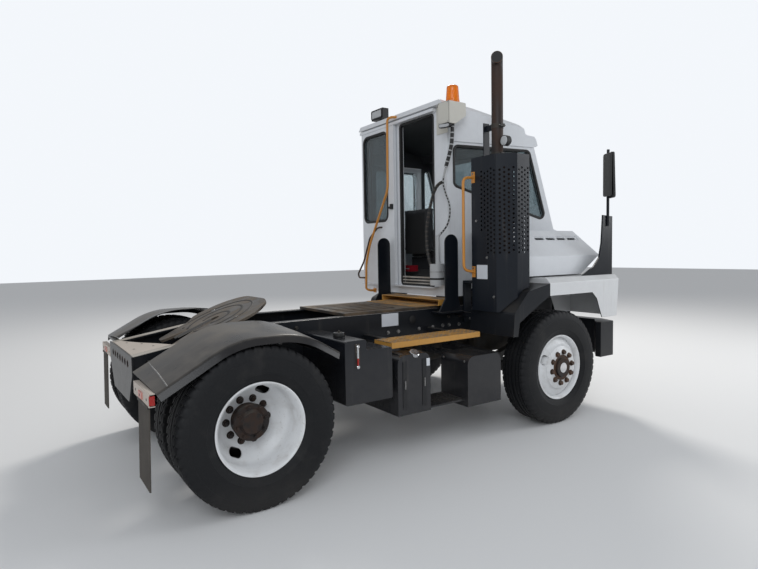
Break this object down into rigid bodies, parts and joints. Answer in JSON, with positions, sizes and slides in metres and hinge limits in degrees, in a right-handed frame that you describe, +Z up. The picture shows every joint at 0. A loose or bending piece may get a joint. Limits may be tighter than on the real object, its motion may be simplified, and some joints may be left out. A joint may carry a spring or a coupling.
{
  "type": "terminal tractor",
  "caption": "Yard tractor with an offset tilting cab, twin rear wheels, steered front wheels and a lifting, tilting fifth wheel.",
  "frame": {"origin": "on the ground under the middle of the tractor's length and width", "axes": "+X ahead, +Y to the tractor's left, +Z up"},
  "size_m": [4.582, 2.441, 3.39],
  "materials": {
    "white_paint": "gloss, dusty",
    "black_paint": "satin, dusty",
    "fender_paint": "satin",
    "safety_orange": "matt, worn",
    "beige_paint": "matt",
    "worn_steel": "scuffed",
    "greased_steel": "greasy",
    "rusty_steel": "rusty",
    "deck_steel": "dirty",
    "cast_iron": "oily",
    "chrome": "polished",
    "tyre": "dusty",
    "rubber": "matt",
    "glass": "tinted",
    "amber": "clear",
    "lamp": "clear",
    "clear_lamp": "clear",
    "trim_plastic": "grained",
    "seat_cloth": "woven",
    "hose": "matt"
  },
  "bodies": {
    "chassis": {"frame": "black_paint", "tail_ramps": "worn_steel", "deck_grating": "deck_steel", "rear_fenders": "fender_paint", "tail_lamps": "lamp", "mud_flaps": "rubber", "hydraulic_tank": "black_paint", "fuel_tank": "black_paint", "step_lockers": "black_paint", "air_tanks": "black_paint", "steps": "safety_orange", "cab_guides": "black_paint", "exhaust_guard": "black_paint", "exhaust_stack": "rusty_steel", "stack_lamp": "clear_lamp", "guard_rail": "safety_orange", "front_fenders": "white_paint", "wheel_guards": "black_paint", "bumper": "black_paint", "headlamps": "clear_lamp", "front_grille": "black_paint", "radiator": "cast_iron", "engine": "cast_iron", "mirror_post": "black_paint", "mirror_head": "trim_plastic", "front_axle": "black_paint", "rear_axle": "cast_iron"},
    "rear_wheels_left": {"rear_tyres_left": "tyre", "rear_rims_left": "white_paint"},
    "rear_wheels_right": {"rear_tyres_right": "tyre", "rear_rims_right": "white_paint"},
    "steer_left": {"knuckle_left": "cast_iron"},
    "steer_right": {"knuckle_right": "cast_iron"},
    "front_wheel_left": {"front_tyre_left": "tyre", "front_rim_left": "white_paint"},
    "front_wheel_right": {"front_tyre_right": "tyre", "front_rim_right": "white_paint"},
    "lift_boom": {"boom": "greased_steel"},
    "lift_cylinders": {"lift_barrels": "black_paint"},
    "lift_pistons": {"lift_rods": "chrome"},
    "saddle": {"fifth_wheel": "greased_steel"},
    "cab": {"cab_shell": "white_paint", "cab_glass": "glass", "roof_cap": "white_paint", "hood": "white_paint", "cab_interior": "trim_plastic", "seat": "seat_cloth", "steering_wheel": "trim_plastic", "roof_box": "beige_paint", "beacon": "amber", "work_lamp": "clear_lamp", "cab_rails": "safety_orange", "canister": "white_paint", "air_hose": "hose"},
    "sliding_door": {"rear_door": "white_paint", "rear_door_glass": "glass"},
    "hinged_door": {"side_door": "white_paint", "side_door_glass": "glass"}
  },
  "joints": [
    {"name": "rear_wheels_left_spin", "type": "hinge", "parent": "chassis", "child": "rear_wheels_left", "pos_m": [-1.599, 0.918, 0.527], "axis": [0, 1, 0], "continuous": true},
    {"name": "steer_left", "type": "hinge", "parent": "chassis", "child": "steer_left", "pos_m": [1.347, 0.925, 0.527], "axis": [0, 0, 1], "range_deg": [-35, 35]},
    {"name": "front_wheel_left_spin", "type": "hinge", "parent": "steer_left", "child": "front_wheel_left", "pos_m": [1.347, 1.058, 0.527], "axis": [0, 1, 0], "continuous": true},
    {"name": "rear_wheels_right_spin", "type": "hinge", "parent": "chassis", "child": "rear_wheels_right", "pos_m": [-1.599, -0.918, 0.527], "axis": [0, 1, 0], "continuous": true},
    {"name": "steer_right", "type": "hinge", "parent": "chassis", "child": "steer_right", "pos_m": [1.347, -0.925, 0.527], "axis": [0, 0, 1], "range_deg": [-35, 35]},
    {"name": "front_wheel_right_spin", "type": "hinge", "parent": "steer_right", "child": "front_wheel_right", "pos_m": [1.347, -1.058, 0.527], "axis": [0, 1, 0], "continuous": true},
    {"name": "boom_lift", "type": "hinge", "parent": "chassis", "child": "lift_boom", "pos_m": [-0.599, 0, 0.93], "axis": [0, 1, 0], "range_deg": [0, 25]},
    {"name": "lift_cylinder_swing", "type": "hinge", "parent": "chassis", "child": "lift_cylinders", "pos_m": [-1.039, 0, 0.44], "axis": [0, 1, 0], "range_deg": [0, 13.21]},
    {"name": "lift_piston_slide", "type": "slide", "parent": "lift_cylinders", "child": "lift_pistons", "axis": [-0.4803, 0, 0.8771], "range_m": [0, 0.25764]},
    {"name": "saddle_tilt", "type": "hinge", "parent": "lift_boom", "child": "saddle", "pos_m": [-1.455, 0, 0.97], "axis": [0, 1, 0], "range_deg": [0, 22.7]},
    {"name": "cab_tilt", "type": "hinge", "parent": "chassis", "child": "cab", "pos_m": [2.231, 0, 1.24], "axis": [0, 1, 0], "range_deg": [0, 45]},
    {"name": "rear_door_slide", "type": "slide", "parent": "cab", "child": "sliding_door", "axis": [0, -1, 0], "range_m": [0, 0.65]},
    {"name": "side_door_swing", "type": "hinge", "parent": "cab", "child": "hinged_door", "pos_m": [1.541, 1.144, 1.6], "axis": [0, 0, -1], "range_deg": [0, 85]}
  ],
  "couplings": [
    {"joint": "steer_right", "follows": "steer_left", "ratio": 1},
    {"joint": "lift_cylinder_swing", "follows": "boom_lift", "ratio": 0.52827},
    {"joint": "lift_piston_slide", "follows": "boom_lift", "m_per_rad": 0.59047}
  ]
}
